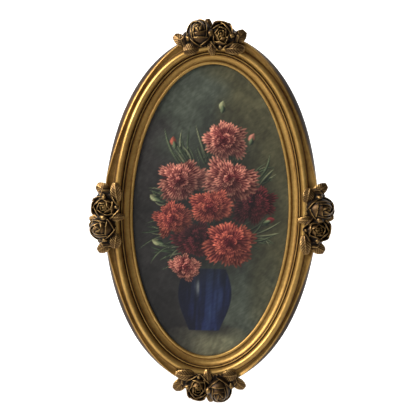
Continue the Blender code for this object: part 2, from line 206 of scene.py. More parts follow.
def moulding_sections(ridge):
    """Offsets and heights of the closed section, one row for each station's ridge offset."""
    ridge = ridge[:, None]
    level = 0 * ridge
    hollow = -HOLLOW_DEPTH * (ridge - TORUS_END) / (MOULDING_WIDTH - TORUS_END)
    floor = QUIRK_HEIGHT - GROOVE_DEPTH
    fine = QUIRK_HEIGHT + FINE_BEAD_RISE
    groove_1, groove_2 = COVE_END + GROOVE_WIDTH / 2, TORUS_START - GROOVE_WIDTH / 2
    stretches = [
        straight((0, REBATE_DEPTH), (0, LIP_HEIGHT), 3),
        arch((0, LIP_HEIGHT), (SIGHT_BEAD_WIDTH, LIP_HEIGHT), SIGHT_BEAD_RISE, 10),
        cove((SIGHT_BEAD_WIDTH, LIP_HEIGHT), (COVE_END, QUIRK_HEIGHT), 14),
        straight((COVE_END, QUIRK_HEIGHT), (groove_1, floor), 3),
        straight((groove_1, floor), (FINE_START, fine), 3),
        arch((FINE_START, fine), (FINE_END, fine), GROOVE_WIDTH / 4, 5),
        straight((FINE_END, fine), (groove_2, floor), 3),
        straight((groove_2, floor), (TORUS_START, QUIRK_HEIGHT), 3),
        arch((TORUS_START, QUIRK_HEIGHT), (TORUS_END, QUIRK_HEIGHT), TORUS_RISE, 22),
        arch((TORUS_END + level, QUIRK_HEIGHT + level), (ridge, RIDGE_HEIGHT), hollow, 9),
        arch((ridge, RIDGE_HEIGHT), (MOULDING_WIDTH, SIDE_HEIGHT), OUTER_BULGE, 12),
        straight((MOULDING_WIDTH, SIDE_HEIGHT), (MOULDING_WIDTH, 0), 6),
        straight((MOULDING_WIDTH, 0), (REBATE_WIDTH, 0), BACK_STEPS),
        straight((REBATE_WIDTH, 0), (REBATE_WIDTH, REBATE_DEPTH), REBATE_STEPS),
        straight((REBATE_WIDTH, REBATE_DEPTH), (0, REBATE_DEPTH), REBATE_STEPS),
    ]
    offsets = np.concatenate([x + level for x, _ in stretches], axis=1)
    heights = np.concatenate([y + level for _, y in stretches], axis=1)
    return offsets, heights


def eased(values, passes):
    """Each value averaged with its neighbours round the section: half itself, a quarter each side."""
    for _ in range(passes):
        values = (np.roll(values, 1, axis=1) + 2 * values + np.roll(values, -1, axis=1)) / 4
    return values


# %% The moulding carried round the oval
STATIONS = 400
EASING = 2
station_lengths = np.linspace(0, rim_lengths[-1], STATIONS, endpoint=False)
station_turns = np.interp(station_lengths, rim_lengths, rim_turns)
ridges = ridge_offset(station_turns)
offsets, heights = (eased(values, EASING) for values in moulding_sections(ridges))
moulding_points = place(station_turns[:, None] + 0 * offsets, offsets, heights)
moulding_quads = grid_quads(*offsets.shape, wrap_rows=True, wrap_columns=True)[:, ::-1]
moulding = new_mesh_object("gilded_moulding", moulding_points, moulding_quads)
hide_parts("frame")
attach(moulding, "root")
print("moulding:", len(moulding_quads), "quads,", offsets.shape[1], "points to a section")


# %% [markdown]
# ### Where the gilding is dirty, shaded and rubbed
# Dust and toning wax settle in the quirks and grooves, and hands and dusters polish the crests. The
# hollow past the torus and the outer slope below the ridge are darkened too, as painted shade. All of
# it follows the section, so it is worked out from the offset and kept on the mesh as two numbers.

# %% Grime in the grooves, painted shade in the hollow and down the outer slope, rub on the crests
def bump_at(distance, width):
    """A smooth bump that is 1 at distance 0 and fades as a bell curve of the given width."""
    return np.exp(-((distance / width) ** 2))


def faded(value, low, high):
    """0 below low, 1 above high, with a smooth step between."""
    share = np.clip((value - low) / (high - low), 0, 1)
    return share * share * (3 - 2 * share)


front = heights > SIDE_HEIGHT / 2
grime_and_shade = 0.35 * bump_at(offsets - SIGHT_BEAD_WIDTH, 0.0012)
grime_and_shade += 0.9 * bump_at(offsets - COVE_END - GROOVE_WIDTH / 2, 0.0009)
grime_and_shade += 0.9 * bump_at(offsets - TORUS_START + GROOVE_WIDTH / 2, 0.0009)
# Painted shade: darker in the hollow past the torus, a little darker over the outer band, and darker down
# the outer slope below the ridge
grime_and_shade += 0.55 * bump_at(offsets - TORUS_END, 0.0014)
grime_and_shade += 0.12 * faded(offsets, TORUS_END, TORUS_END + 0.002)
grime_and_shade += 0.75 * faded(offsets - ridges[:, None], 0.001, 0.005) * (heights < RIDGE_HEIGHT - 0.001)
rub = 0.35 * bump_at(offsets - CREST_OFFSET, 0.0050)
rub += 0.8 * bump_at(offsets - ridges[:, None], 0.0012)
rub += 0.7 * bump_at(offsets - (FINE_START + FINE_END) / 2, 0.0008)
rub += 0.6 * bump_at(offsets - SIGHT_BEAD_WIDTH / 2, 0.0014)
point_values(moulding, "grime_and_shade", np.clip(grime_and_shade, 0, 1) * front)
point_values(moulding, "rub", np.clip(rub, 0, 1) * front)
print("grime covers", round(float((grime_and_shade * front > 0.5).mean()), 2), "of the moulding")

# %% [markdown]
# ## The rose castings
# Each ornament was pressed in a mould and glued over the outer edge: a full round rose, an open rose,
# leaves with raised veins, and a few buds. Petals and leaves are curved sheets, so each is worked out
# as a grid and given a thickness. The sheets of one casting are then fused by a voxel remesh, which
# leaves the soft joins that a moulded ornament has.

# %% Sizes of the castings: shifts, seats and places are shares of the half length
CASTING_HALF_LENGTH = 0.0460
CASTING_SHIFTS = {"top": -0.185, "right": 0.087, "bottom": -0.109, "left": -0.261}
CASTING_SEATS = {"top": -0.065, "right": -0.030, "bottom": 0.044, "left": -0.083}
BED_THICKNESS, BED_OVERHANG, BED_LUMP = 0.0030, 0.0140, 0.0006
LEAF_THICKNESS, LEAF_BACKING, LEAF_VEINS = 0.0018, 0.0090, 7
VEIN_RISE, MIDRIB_RISE = 0.0010, 0.0012
# Petals: shares of the rose's radius, then the polar angle of the foot and the fall of the rim
PETAL_THICKNESS, PETAL_THINNING, PETAL_LAP = 0.14, 0.6, 0.05
PETAL_FOOT, PETAL_FALL = 125, 26
ROSE_STRETCH = 1.18
VOXEL = 0.00058
PETAL_ROWS, PETAL_COLUMNS = 16, 21
DOME_ROWS, DOME_COLUMNS = 14, 24
LEAF_ROWS, LEAF_COLUMNS = 81, 41
BED_ROWS = 61


# %% Sheets: petals and leaves as grids
def shell(sheet, back):
    """Closes a grid of points and the grid that lies behind it into a thin solid."""
    rows, columns = sheet.shape[:2]
    count = rows * columns
    quads = grid_quads(rows, columns)
    rim = grid_rim(rows, columns)
    after = np.roll(rim, -1)
    sides = np.stack([rim, rim + count, after + count, after], axis=-1)
    points = np.concatenate([sheet.reshape(-1, 3), back.reshape(-1, 3)])
    return points, np.concatenate([quads, quads[:, ::-1] + count, sides])


def petal(turn, spread, wide, tall, rim, flare, power=2.5):
    """A petal that hugs an egg, in shares of the rose's radius.

    Its points lie on an ellipsoid, at polar angles that run from the foot up to the rim, which falls
    away to both sides as a power. One side laps over the next petal, and near the rim the sheet
    flares outwards as a fourth power and thins to a narrow edge.
    """
    across = np.linspace(-1, 1, PETAL_COLUMNS)[None, :]
    rise = np.linspace(0, 1, PETAL_ROWS)[:, None]
    top = np.radians(rim + PETAL_FALL * np.abs(across) ** power)
    polar = math.radians(PETAL_FOOT) + (top - math.radians(PETAL_FOOT)) * rise
    azimuth = turn + spread * across
    out = 1 + PETAL_LAP * across + flare * rise**4
    x = wide * out * np.sin(polar) * np.cos(azimuth)
    y = wide * out * np.sin(polar) * np.sin(azimuth)
    z = tall * out * np.cos(polar) - 0.5 * flare * rise**6
    sheet = np.stack(np.broadcast_arrays(x, y, z), axis=-1)
    return shell(sheet, sheet * (1 - PETAL_THICKNESS * (1 - PETAL_THINNING * rise[..., None] ** 4)))


def dome(reach, low, high, twist=0.0, ribs=0):
    """A closed ball stretched from low to high, with ribs that wind round it as they rise."""
    around = np.linspace(0, TURN, DOME_COLUMNS, endpoint=False)[None, :]
    up = np.linspace(0.001, math.pi - 0.001, DOME_ROWS)[:, None]
    ridge = 1 + 0.09 * np.cos(ribs * around + twist * up) * np.sin(up) * (ribs > 0)
    out = reach * np.sin(up) * ridge
    height = (low + high) / 2 - (high - low) / 2 * np.cos(up) + 0 * around
    points = np.stack([out * np.cos(around), out * np.sin(around), height], axis=-1).reshape(-1, 3)
    quads = grid_quads(DOME_ROWS, DOME_COLUMNS, wrap_columns=True)
    after = np.arange(1, DOME_COLUMNS - 1)
    caps = [np.stack([0 * after + base, base + after, base + after + 1], axis=-1)
            for base in (0, (DOME_ROWS - 1) * DOME_COLUMNS)]
    return points, [list(quad) for quad in quads] + [list(tri) for tri in np.concatenate(caps)]


# Whorls of the two roses: petals, phase, width, height, polar angle of the rim, flare, power of the rim
ROUND_WHORLS = [(4, 0.3, 1.02, 0.90, 64, 0.10, 2.5), (4, 1.1, 0.93, 0.97, 44, 0.07, 2.5),
                (3, 0.2, 0.78, 1.00, 28, 0.05, 2.5), (3, 1.2, 0.56, 1.03, 16, 0.04, 2.5)]
OPEN_WHORLS = [(5, 0.7, 1.08, 0.52, 52, 0.24, 1.3), (5, 1.3, 0.86, 0.62, 42, 0.16, 1.5),
               (5, 0.5, 0.63, 0.64, 32, 0.10, 1.8), (4, 1.0, 0.40, 0.58, 24, 0.05, 2.0)]
ROUND_CORE = [(0.86, -0.80, 0.74), (0.60, 0.00, 0.88), (0.30, 0.30, 1.00)]
OPEN_CORE = [(0.92, -0.80, 0.16), (0.20, -0.20, 0.40)]


def rose(whorls, core, radius, tilt, turned):
    """A rose: whorls of petals round a core, turned on its axis, leaned outwards and stretched."""
    shells = [dome(*sizes) for sizes in core]
    for count, phase, wide, tall, rim, flare, power in whorls:
        for number in range(count):
            sway = 1 + 0.05 * math.sin(7 * number + 11 * wide)
            turn = phase + TURN * number / count
            shells.append(petal(turn, 1.25 * math.pi / count, wide, tall * sway, rim * sway, flare, power))
    spin, lean = Matrix.Rotation(math.radians(turned), 3, "Z"), Matrix.Rotation(-math.radians(tilt), 3, "X")
    turned_axes = np.array(lean @ spin).T
    stretch = radius * np.array([1.0, ROSE_STRETCH, 1.0])
    return [((points @ turned_axes) * stretch, faces) for points, faces in shells]


def leaf_relief(share, lane, length, width, droop):
    """Half width and height of a leaf, at a share of its length and a lane from -1 to 1 across it.

    The half width is a power of a sine. The leaf arches as a sine and sinks to its edges; the veins
    are narrow bumps of a slanting saw wave, and the midrib is a bell curve.
    """
    half = width / 2 * np.sin(math.pi * (0.12 + 0.80 * share)) ** 0.6
    slant = (LEAF_VEINS * (share - 0.28 * np.abs(lane))) % 1
    vein = bump_at(slant - 0.5, 0.22) * np.abs(lane) ** 0.3 * np.sin(math.pi * share) ** 0.6
    midrib = bump_at(lane, 0.10) * (1 - 0.6 * share)
    height = length * (0.16 * np.sin(math.pi * share) - droop * share) - 0.10 * width * np.abs(lane) ** 1.6
    return half, height + VEIN_RISE * vein + MIDRIB_RISE * midrib


def leaf(length, width, direction, droop, depth=LEAF_THICKNESS):
    """A blunt leaf with a saw edge, from its base at the origin, solid to the given depth."""
    share = np.linspace(0, 1, LEAF_ROWS)[:, None]
    lane = np.linspace(-1, 1, LEAF_COLUMNS)[None, :]
    half, height = leaf_relief(share, lane, length, width, droop)
    half = half * (1 + 0.09 * (LEAF_VEINS * share % 1 - 0.5))
    heading = math.radians(direction)
    along, across = length * share + 0 * lane, half * lane
    x = along * math.cos(heading) - across * math.sin(heading)
    y = along * math.sin(heading) + across * math.cos(heading)
    sheet = np.stack([x, y, height], axis=-1)
    return [shell(sheet, sheet - [0, 0, depth])]


def bud(radius):
    """A pointed bud: a ribbed ball with three narrow leaflets laid up its sides."""
    shells = [dome(0.85 * radius, -1.3 * radius, 1.55 * radius, 3, 5)]
    for number in range(3):
        points, faces = petal(TURN * number / 3, 0.5, 1.0, 1.35, 30, 0.20, 1.2)
        shells.append((points * radius, faces))
    return shells


# %% One casting laid out in its own frame of clockwise, outwards and forwards
size = CASTING_HALF_LENGTH
ROSES = [
    ((-0.337, 0.117, 0.067), rose(ROUND_WHORLS, ROUND_CORE, 0.395 * size, tilt=26, turned=20)),
    ((0.380, 0.030, 0.122), rose(OPEN_WHORLS, OPEN_CORE, 0.372 * size, tilt=14, turned=50)),
]
BUDS = [((0.022, 0.060, 0.020), bud(0.210 * size)), ((-0.735, 0.060, 0.080), bud(0.126 * size)),
        ((0.735, 0.060, 0.080), bud(0.126 * size)), ((0.413, -0.375, 0.143), bud(0.100 * size))]
# Leaves: place, then length, width, direction, droop and depth
LEAVES = [
    ((-0.891, -0.109, 0.043), (0.533 * size, 0.390 * size, 118, 0.10, LEAF_THICKNESS)),
    ((0.902, -0.109, 0.043), (0.533 * size, 0.430 * size, 66, 0.10, LEAF_THICKNESS)),
    ((-0.022, 0.030, -0.052), (0.575 * size, 0.303 * size, 92, 0.10, LEAF_THICKNESS)),
    ((-1.080, -0.250, 0.150), (0.520 * size, 0.400 * size, -16, 0.02, LEAF_BACKING)),
    ((0.610, -0.400, 0.165), (0.660 * size, 0.380 * size, 10, 0.02, LEAF_BACKING)),
    ((0.022, -0.160, 0.187), (0.500 * size, 0.274 * size, -84, 0.06, LEAF_BACKING)),
]
CASTING_PARTS = ROSES + BUDS + [(spot, leaf(*sizes)) for spot, sizes in LEAVES]
print("a casting has", sum(len(shells) for _, shells in CASTING_PARTS), "shells")


def bed(turn_at):
    """The rough bed under the flowers: a section over the moulding's edge, tapered and lumpy."""
    share = np.linspace(-1, 1, BED_ROWS)[:, None]
    taper = 0.25 + 0.75 * np.sqrt(np.clip(1 - np.abs(share) ** 3, 0, 1))
    reach = MOULDING_WIDTH - CREST_OFFSET
    inner = MOULDING_WIDTH - reach * (0.6 + 0.4 * taper)
    outer = MOULDING_WIDTH + BED_OVERHANG * taper
    face, foot = CREST_HEIGHT + BED_THICKNESS, SIDE_HEIGHT + BED_THICKNESS
    corners = [(inner, QUIRK_HEIGHT), (inner, face), ((MOULDING_WIDTH + outer) / 2, face),
               (outer, RIDGE_HEIGHT), (outer, foot), (MOULDING_WIDTH - BED_THICKNESS, foot)]
    offset = np.concatenate([x + 0 * share for x, _ in corners], axis=1)
    height = np.concatenate([y + 0 * share for _, y in corners], axis=1)
    count = len(corners)
    lump = BED_LUMP * np.sin(41 * share + 3 * np.arange(count)) * np.array([0, 1, 1, 1, 0, 0])
    points = place(turn_at(share * CASTING_HALF_LENGTH) + 0 * offset, offset + lump, height + lump)
    quads = grid_quads(BED_ROWS, count, wrap_columns=True).tolist()
    ends = [list(range(start, start + count)) for start in (0, (BED_ROWS - 1) * count)]
    return points.reshape(-1, 3), quads + ends


# %% [markdown]
# ### Fusing and smoothing a casting
# After the remesh, the points are averaged with their neighbours, which wipes out the voxel steps.
# Averaging many more times gives a worn-down copy: where the surface stands out from it the casting
# gets rubbed, and where it lies behind it the dark patina stays. The broadest copy also paints light:
# the bellies of the roses come out lighter, as a painted highlight, and the broad hollows between the
# parts darker, as painted shade. Leaves keep more gilding than petals.

# %% Neighbour averages on a mesh
SMOOTHING_PASSES, FINE_PASSES, BROAD_PASSES = 2, 10, 90
# The broad relief's scale: it paints a highlight on the bellies of the roses and shade in the broad hollows
FINE_RELIEF, BROAD_SHEEN_AND_SHADE = 0.00018, 0.0009


def mesh_arrays(thing):
    """The points, normals and edges of a mesh as arrays."""
    mesh = thing.data
    points = np.empty(len(mesh.vertices) * 3)
    normals = np.empty(len(mesh.vertices) * 3, dtype=np.float32)
    edges = np.empty(len(mesh.edges) * 2, dtype=np.int64)
    mesh.vertices.foreach_get("co", points)
    mesh.vertex_normals.foreach_get("vector", normals)
    mesh.edges.foreach_get("vertices", edges)
    return points.reshape(-1, 3), normals.reshape(-1, 3).astype(float), edges.reshape(-1, 2)


def averaged(values, edges, passes):
    """Each row moved half way to the mean of its neighbours, once for each pass."""
    count = len(values)
    ends = np.concatenate([edges[:, 0], edges[:, 1]])
    others = np.concatenate([edges[:, 1], edges[:, 0]])
    degree = np.maximum(np.bincount(ends, minlength=count), 1)
    for _ in range(passes):
        sums = [np.bincount(ends, weights=column[others], minlength=count) for column in values.T]
        values = (values + np.stack(sums, axis=1) / degree[:, None]) / 2
    return values


def on_leaf(local, length, width, direction, droop, depth):
    """1 where a point, in the casting's own frame from a leaf's base, lies on the leaf's upper side."""
    heading = math.radians(direction)
    along = local[:, 0] * math.cos(heading) + local[:, 1] * math.sin(heading)
    across = local[:, 1] * math.cos(heading) - local[:, 0] * math.sin(heading)
    share = np.clip(along / length, 0.001, 0.999)
    half, _ = leaf_relief(share, 0, length, width, droop)
    lane = across / half
    _, height = leaf_relief(share, np.clip(lane, -1, 1), length, width, droop)
    inside = faded(1.15 - np.abs(lane), 0, 0.15) * faded(0.03 - np.abs(along / length - share), 0, 0.03)
    above = local[:, 2] - height
    return inside * faded(above, -0.0020, -0.0008) * faded(-above, -0.0026, -0.0014)


# %% The four castings
def build_casting(side, quarter):
    """Places every shell of a casting on its side of the oval, fuses them and measures the relief."""
    middle = quarter / 4 * rim_lengths[-1] + CASTING_SHIFTS[side] * CASTING_HALF_LENGTH

    def turn_at(along):
        """The turn at a length along the outer edge, clockwise from the casting's middle."""
        return np.interp((middle + along) % rim_lengths[-1], rim_lengths, rim_turns)

    def stand(spot):
        """The world point of a place on the casting, and the casting's axes there."""
        along, out, lift = (CASTING_HALF_LENGTH * share for share in spot)
        turn = turn_at(along)
        out += CASTING_SEATS[side] * CASTING_HALF_LENGTH
        _, normal = oval(turn)
        axes = np.array([[normal[1], 0, -normal[0]], [normal[0], 0, normal[1]], [0, -1, 0]])
        return place(turn, MOULDING_WIDTH + out, RIDGE_HEIGHT + lift), axes

    points, faces = bed(turn_at)
    all_points, all_faces, count = [points], list(faces), len(points)
    for spot, shells in CASTING_PARTS:
        base, axes = stand(spot)
        for points, faces in shells:
            all_points.append(base + points @ axes)
            all_faces += [[count + corner for corner in face] for face in faces]
            count += len(points)
    casting = new_mesh_object(f"roses_{side}", np.concatenate(all_points), all_faces)
    remesh = casting.modifiers.new("fuse", "REMESH")
    remesh.mode, remesh.voxel_size, remesh.use_smooth_shade = "VOXEL", VOXEL, True
    graph = bpy.context.evaluated_depsgraph_get()
    fused = bpy.data.meshes.new_from_object(casting.evaluated_get(graph))
    casting.modifiers.remove(remesh)
    casting.data = fused
    points, _, edges = mesh_arrays(casting)
    points = averaged(points, edges, SMOOTHING_PASSES)
    fused.vertices.foreach_set("co", points.ravel())
    fused.update()
    points, normals, edges = mesh_arrays(casting)
    fine = ((points - averaged(points, edges, FINE_PASSES)) * normals).sum(axis=1)
    # Painted light: the broad term makes the bellies of the roses lighter as a highlight and the broad
    # hollows between parts darker as shade
    broad = ((points - averaged(points, edges, BROAD_PASSES)) * normals).sum(axis=1)
    relief = averaged((fine / FINE_RELIEF + broad / BROAD_SHEEN_AND_SHADE)[:, None], edges, 1)[:, 0]
    leafy = np.zeros(len(points))
    for spot, sizes in LEAVES:
        base, axes = stand(spot)
        leafy = np.maximum(leafy, on_leaf((points - base) @ axes.T, *sizes))
    point_values(casting, "rub", np.clip(0.5 + 0.40 * relief * (1 - 0.55 * leafy), 0, 1))
    point_values(casting, "leafy", leafy)
    fused.polygons.foreach_set("use_smooth", np.ones(len(fused.polygons), dtype=bool))
    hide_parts(f"rose_cluster_{side}")
    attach(casting, "root")
    print(casting.name, len(fused.polygons), "quads;", round(100 * float(leafy.mean())), "% on leaves")
    return casting


castings = [build_casting(side, quarter) for quarter, side in enumerate(("top", "right", "bottom", "left"))]

# %% [markdown]
# ## The painting
# The picture is a bunch of pink and crimson blooms in a blue vase, on a dark grey-green ground. It is
# painted here the way a painter would lay it in: the ground first, then the vase, the leaves and the
# blooms, each as a mask and a colour over what is already there. All masks are formulas on the points
# of the panel's face, so the colour of every point is worked out at once.

# %% The panel's face as a grid
PANEL_COLUMNS, PANEL_ROWS = 206, 396
PANEL_EDGE = REBATE_WIDTH - FIT_GAP
FACE_HEIGHT = REBATE_DEPTH - FIT_GAP
across = np.linspace(-1, 1, PANEL_COLUMNS)[None, :]
upward = np.linspace(-1, 1, PANEL_ROWS)[:, None]
# A square becomes a disc when each coordinate is shrunk by the root of 1 - half the other's square
x = (SIGHT_WIDTH / 2 + PANEL_EDGE) * across * np.sqrt(1 - upward**2 / 2)
z = (SIGHT_HEIGHT / 2 + PANEL_EDGE) * upward * np.sqrt(1 - across**2 / 2)
print("painting:", x.size, "points, about", round(1000 * SIGHT_WIDTH / PANEL_COLUMNS, 1), "mm apart")


# %% Brush marks
LATTICE = 61


def smooth_noise(x, z, scale, seed):
    """Value noise: random numbers on a square lattice of the given pitch, joined by smooth weights."""
    lattice = np.random.default_rng(seed).random((LATTICE, LATTICE))
    at_x, at_z = x / scale + LATTICE / 2, z / scale + LATTICE / 2
    column, row = np.floor(at_x).astype(int), np.floor(at_z).astype(int)
    share_x, share_z = at_x - column, at_z - row
    share_x, share_z = share_x**2 * (3 - 2 * share_x), share_z**2 * (3 - 2 * share_z)
    west, east, south, north = (index % LATTICE for index in (column, column + 1, row, row + 1))
    low = lattice[south, west] * (1 - share_x) + lattice[south, east] * share_x
    high = lattice[north, west] * (1 - share_x) + lattice[north, east] * share_x
    return low * (1 - share_z) + high * share_z


def brushed(x, z, angle, length, width, seed):
    """Brush marks from -1 to 1: noise on coordinates turned by the angle and squeezed to the width."""
    turn = math.radians(angle)
    along, over = x * math.cos(turn) + z * math.sin(turn), z * math.cos(turn) - x * math.sin(turn)
    return 2 * smooth_noise(along / length, over / width, 1.0, seed) - 1


def laid(picture, mask, colour):
    """The picture with a colour laid over it where the mask is 1."""
    return picture * (1 - mask[..., None]) + np.asarray(colour) * mask[..., None]


def tones(*levels):
    """Colours given as 0 to 255, as they look on a screen, brought to 0 to 1."""
    return [np.array(level) / 255 for level in levels]


# %% The ground and the table
SLATE, SOOT, OLIVE, NIGHT, CLOTH = tones(
    (64, 69, 60), (44, 41, 41), (70, 68, 49), (24, 23, 24), (104, 102, 78))
scrub = 0.5 * brushed(x, z, 70, 0.020, 0.004, 3) + 0.5 * brushed(x, z, -40, 0.016, 0.005, 4)
drift = 0.05 * (smooth_noise(x, z, 0.03, 5) - 0.5)
picture = np.zeros(x.shape + (3,)) + SLATE
picture = laid(picture, faded(x + drift + 0.2 * z, 0.02, 0.09), OLIVE)
picture = laid(picture, 0.9 * faded(-x + drift - 0.25 * z, 0.02, 0.085), SOOT)
picture = laid(picture, 0.75 * faded(-z + drift, 0.04, 0.17) * faded(-x + drift, -0.02, 0.05), NIGHT)
picture = laid(picture, 0.85 * faded(-z + drift, 0.192, 0.206) * bump_at(x - 0.014, 0.055), CLOTH)
cloudy = smooth_noise(x, z, 0.022, 6) - 0.5
picture = picture * (1 + 0.20 * scrub + 0.22 * cloudy)[..., None]
thickness = 0.25 + 0.2 * scrub


# %% Strokes: blades and petals
# How ragged the rim of a petal is at each point
ragged = smooth_noise(x, z, 0.0030, 9) + smooth_noise(x, z, 0.0065, 10) - 1


def blade(start, end, bow, width, taper=0.7):
    """A leaf stroke: how far each point is from a chord bowed sideways, against a tapering width.

    Also gives the share along the chord and the signed distance, for shading.
    """
    (x0, z0), (x1, z1) = start, end
    run_x, run_z = x1 - x0, z1 - z0
    length = math.hypot(run_x, run_z)
    share = np.clip(((x - x0) * run_x + (z - z0) * run_z) / length**2, 0, 1)
    off_x = x - x0 - share * run_x
    off_z = z - z0 - share * run_z
    side = (run_x * off_z - run_z * off_x) / length
    end_gap = np.abs(off_x * run_x + off_z * run_z) / length
    offset = side - bow * 4 * share * (1 - share)
    half = width / 2 * np.sin(math.pi * np.clip(share, 0.02, 0.98)) ** taper
    mask = faded(half - np.abs(offset) - end_gap, -0.0004, 0.0006)
    return mask, share, offset / width


def paint_blade(picture, thickness, start, end, bow, width, light, dark):
    """Lays a two-toned leaf stroke: light on its upper side and dark on its lower side."""
    mask, share, offset = blade(start, end, bow, width)
    tone = faded(offset, -0.25, 0.25) * (0.6 + 0.4 * share)
    colour = dark + (light - dark) * tone[..., None]
    return laid(picture, mask, colour), np.maximum(thickness, 0.55 * mask)


def paint_petal(picture, thickness, root, turn, reach, spread, light, dark, shift):
    """Lays a fan-shaped petal.

    Its points are told apart by their distance from the root, in reaches, and their angle from the
    middle, in spreads. The rim is notched, streaks of the brush run out from the root, the rim
    catches the light, and both sides are edged in the dark.
    """
    off_x, off_z = x - root[0], z - root[1]
    radius = np.hypot(off_x, off_z) / reach
    angle = (np.arctan2(off_z, off_x) - turn + math.pi) % TURN - math.pi
    lane = angle / spread
    edge = 1 - 0.30 * lane**2 + 0.07 * np.sin(5.5 * math.pi * lane + shift) + 0.06 * ragged
    mask = faded(edge - radius, 0.0, 0.06) * faded(1 - np.abs(lane), 0.0, 0.10)
    streak = np.sin(6.5 * math.pi * lane + 2 * shift + 2 * ragged) * faded(radius, 0.10, 0.45)
    rim = bump_at(edge - radius - 0.07, 0.08)
    tone = -0.15 + 0.48 * radius + 0.34 * streak + 0.60 * rim - 0.70 * faded(np.abs(lane), 0.58, 0.95)
    tone = tone + 0.30 * ragged
    colour = dark + (light - dark) * np.clip(tone, -0.2, 1.2)[..., None]
    body = mask * (0.3 + 0.3 * streak + 0.5 * rim)
    return laid(picture, mask, colour), np.maximum(thickness * (1 - mask), body)


# Rows of a full bloom, from behind forwards: petals, reach and spread
BLOOM_ROWS = [(10, 1.00, 0.40), (9, 0.82, 0.44), (7, 0.64, 0.52), (5, 0.46, 0.62), (4, 0.28, 0.80)]


def paint_bloom(picture, thickness, centre, size, lean, light, dark, seed):
    """Lays a full bloom row by row, each petal at a drawn angle, reach and tone.

    The petals fan out from roots scattered about the middle, a fifth shorter where they point at right
    angles to the lean, and those turned to the upper left are lighter.
    """
    rng = np.random.default_rng(seed)
    lean = math.radians(lean)
    for row, (count, reach, spread) in enumerate(BLOOM_ROWS):
        for number in rng.permutation(count):
            turn = lean + TURN * (number + 0.5 * (row % 2)) / count + rng.uniform(-0.16, 0.16)
            flat = math.hypot(math.cos(turn - lean), 0.80 * math.sin(turn - lean))
            length = size * reach * flat * rng.uniform(0.80, 1.12)
            root = (centre[0] + rng.uniform(-0.08, 0.08) * size, centre[1] + rng.uniform(-0.08, 0.08) * size)
            gain = 0.80 + 0.20 * math.cos(turn - math.radians(125)) + 0.05 * row + rng.uniform(-0.14, 0.14)
            shift = rng.uniform(0, TURN)
            broad = spread * rng.uniform(0.9, 1.2)
            picture, thickness = paint_petal(
                picture, thickness, root, turn, length, broad, gain * light, gain * dark, shift)
    return picture, thickness


# %% The blue vase
VASE_X, VASE_MOUTH_Z, VASE_FOOT_Z, VASE_HALF_WIDTH = -0.006, -0.094, -0.192, 0.044
INK, COBALT, SMALT, GLINT = tones((14, 17, 34), (25, 33, 66), (44, 60, 90), (146, 152, 152))
rise = (z - VASE_FOOT_Z) / (VASE_MOUTH_Z - VASE_FOOT_Z)
swell = 0.52 + 0.48 * np.sin(math.pi * np.clip(0.06 + 0.72 * rise, 0, 1)) ** 1.3
beside = (x - VASE_X) / (VASE_HALF_WIDTH * swell)
vase = faded(1 - np.abs(beside), 0.0, 0.04) * faded(rise, -0.02, 0.0) * faded(1.04 - rise, 0, 0.03)
glaze = brushed(x, z, 88, 0.030, 0.0035, 8)
picture = laid(picture, 0.75 * bump_at(z - VASE_FOOT_Z, 0.010) * bump_at(x - VASE_X - 0.014, 0.040), NIGHT)
tint = np.clip(0.45 + 0.35 * beside - 0.55 * beside**2 + 0.32 * glaze, 0, 1)[..., None]
glazed = INK + (COBALT - INK) * np.clip(2 * tint, 0, 1) + (SMALT - COBALT) * np.clip(2 * tint - 1, 0, 1)
picture = laid(picture, vase, glazed)
gleam = 0.85 * vase * bump_at(beside + 0.30 + 0.05 * glaze, 0.07) * bump_at(rise - 0.72, 0.12)
picture = laid(picture, gleam, GLINT)
picture = laid(picture, 0.35 * vase * bump_at(beside - 0.55, 0.12) * bump_at(rise - 0.45, 0.25), SMALT)
thickness = np.maximum(thickness, 0.5 * vase * (0.7 + 0.3 * glaze))

# %% Leaves and stems
PALE, SAGE, FERN, MOSS = tones((166, 168, 124), (116, 128, 92), (74, 90, 62), (24, 32, 26))
STEM_ROOT = (VASE_X + 0.002, VASE_MOUTH_Z + 0.012)
gloom = bump_at(np.hypot((x - 0.004) / 0.080, (z + 0.010) / 0.105), 0.9)
picture = laid(picture, 0.55 * gloom, MOSS)
stem_ends = [(-0.058, 0.098), (0.012, 0.128), (0.052, 0.108), (-0.076, 0.008),
             (0.080, -0.006), (-0.036, -0.058), (-0.030, 0.110), (0.030, 0.090)]
for end in stem_ends:
    bow = 0.010 * (1 if end[0] > STEM_ROOT[0] else -1)
    picture, thickness = paint_blade(picture, thickness, STEM_ROOT, end, bow, 0.0034, SAGE, MOSS)
leaf_draws = np.random.default_rng(21)
# Fans of narrow leaves: the middle of their roots, heading, spread of the fan in degrees, and reach
fans = [((0.020, 0.068), 74, 28, 0.060), ((-0.034, 0.066), 112, 26, 0.072),
        ((0.060, -0.040), 8, 34, 0.050), ((-0.056, -0.026), 176, 36, 0.052),
        ((0.066, 0.046), 38, 26, 0.050), ((-0.046, -0.062), 194, 30, 0.048),
        ((-0.004, 0.080), 95, 20, 0.056), ((-0.064, 0.020), 160, 26, 0.034)]
BLADES = 13
for (root_x, root_z), heading, spread, reach in fans:
    for number in range(BLADES):
        turn = math.radians(heading + spread * (2 * number / (BLADES - 1) - 1) + leaf_draws.uniform(-6, 6))
        length = reach * leaf_draws.uniform(0.60, 1.10)
        start = (root_x + leaf_draws.uniform(-0.010, 0.010), root_z + leaf_draws.uniform(-0.010, 0.010))
        end = (start[0] + length * math.cos(turn), start[1] + length * math.sin(turn))
        bow, width = leaf_draws.uniform(-0.008, 0.008), leaf_draws.uniform(0.0024, 0.0046)
        light = (SAGE, FERN, PALE, SAGE)[number % 4]
        picture, thickness = paint_blade(picture, thickness, start, end, bow, width, light, MOSS)
print("laid in", len(stem_ends), "stems and", BLADES * len(fans), "leaves")

# %% Blooms and buds
ROSE, CORAL, CHERRY, WINE, BLACKBERRY = tones(
    (206, 134, 112), (184, 96, 76), (128, 50, 52), (74, 24, 28), (34, 13, 18))
